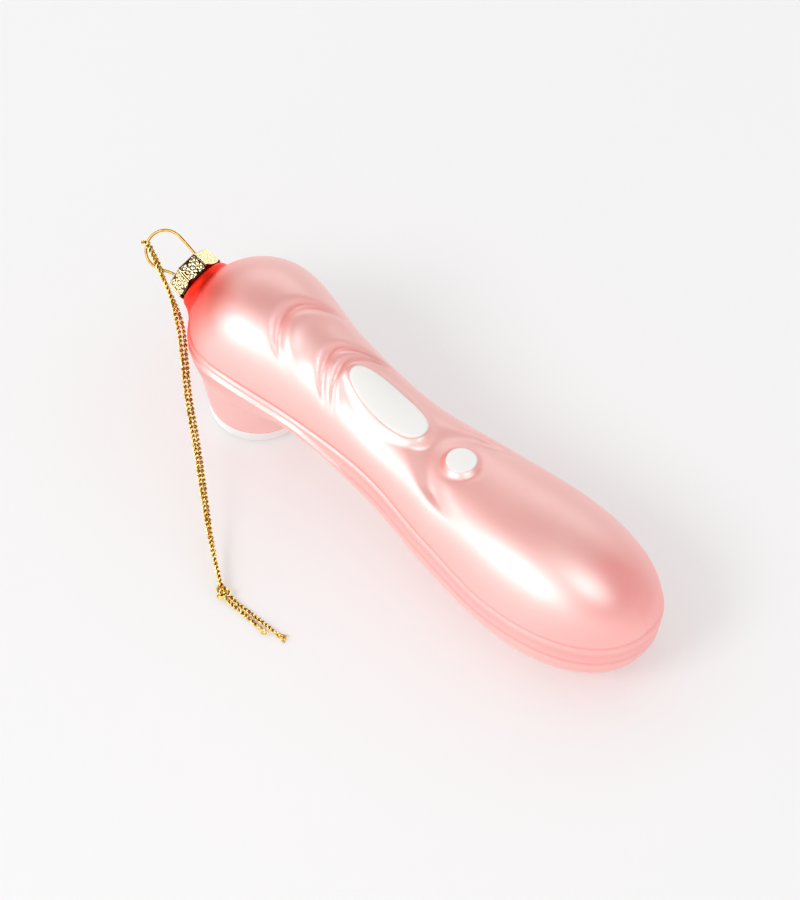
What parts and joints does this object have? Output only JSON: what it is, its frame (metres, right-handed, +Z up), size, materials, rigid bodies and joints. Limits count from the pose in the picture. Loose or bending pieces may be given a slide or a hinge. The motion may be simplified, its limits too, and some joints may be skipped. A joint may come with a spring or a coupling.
{
  "type": "christmas bauble",
  "caption": "Long blown-glass bauble with a round head on a short nozzle, slim waist and bulb grip, with a crown cap, wire hanger and cord loop.",
  "frame": {"origin": "under the middle of the bauble without its cord, on the surface that it stands on", "axes": "+X from the round head to the bulb grip, +Z up out of the surface, symmetric about y = 0 but for the hanger"},
  "size_m": [0.1435, 0.0609, 0.0425],
  "materials": {
    "lacquered_glass": "satin pearl pink lacquer over silvered blown glass, with white painted pad, button and rim",
    "stamped_cap": "stamped and embossed sheet, antique gold plated",
    "hanger_wire": "bright gold-coloured spring wire",
    "gold_cord": "twisted metallic gold cord"
  },
  "bodies": {
    "glass": {"glass_body": "lacquered_glass"},
    "cap": {"crown_cap": "stamped_cap"},
    "hanger": {"wire_hanger": "hanger_wire", "cord_front_strand": "gold_cord", "cord_back_strand": "gold_cord", "cord_knot": "gold_cord", "cord_short_tail": "gold_cord", "cord_long_tail": "gold_cord"}
  },
  "joints": [
    {"name": "cap_pull", "type": "slide", "parent": "glass", "child": "cap", "axis": [-0.9578, 0, 0.2874], "range_m": [0, 0.02]},
    {"name": "hanger_slide", "type": "slide", "parent": "cap", "child": "hanger", "axis": [-0.9578, 0, 0.2874], "range_m": [0, 0.004]}
  ]
}
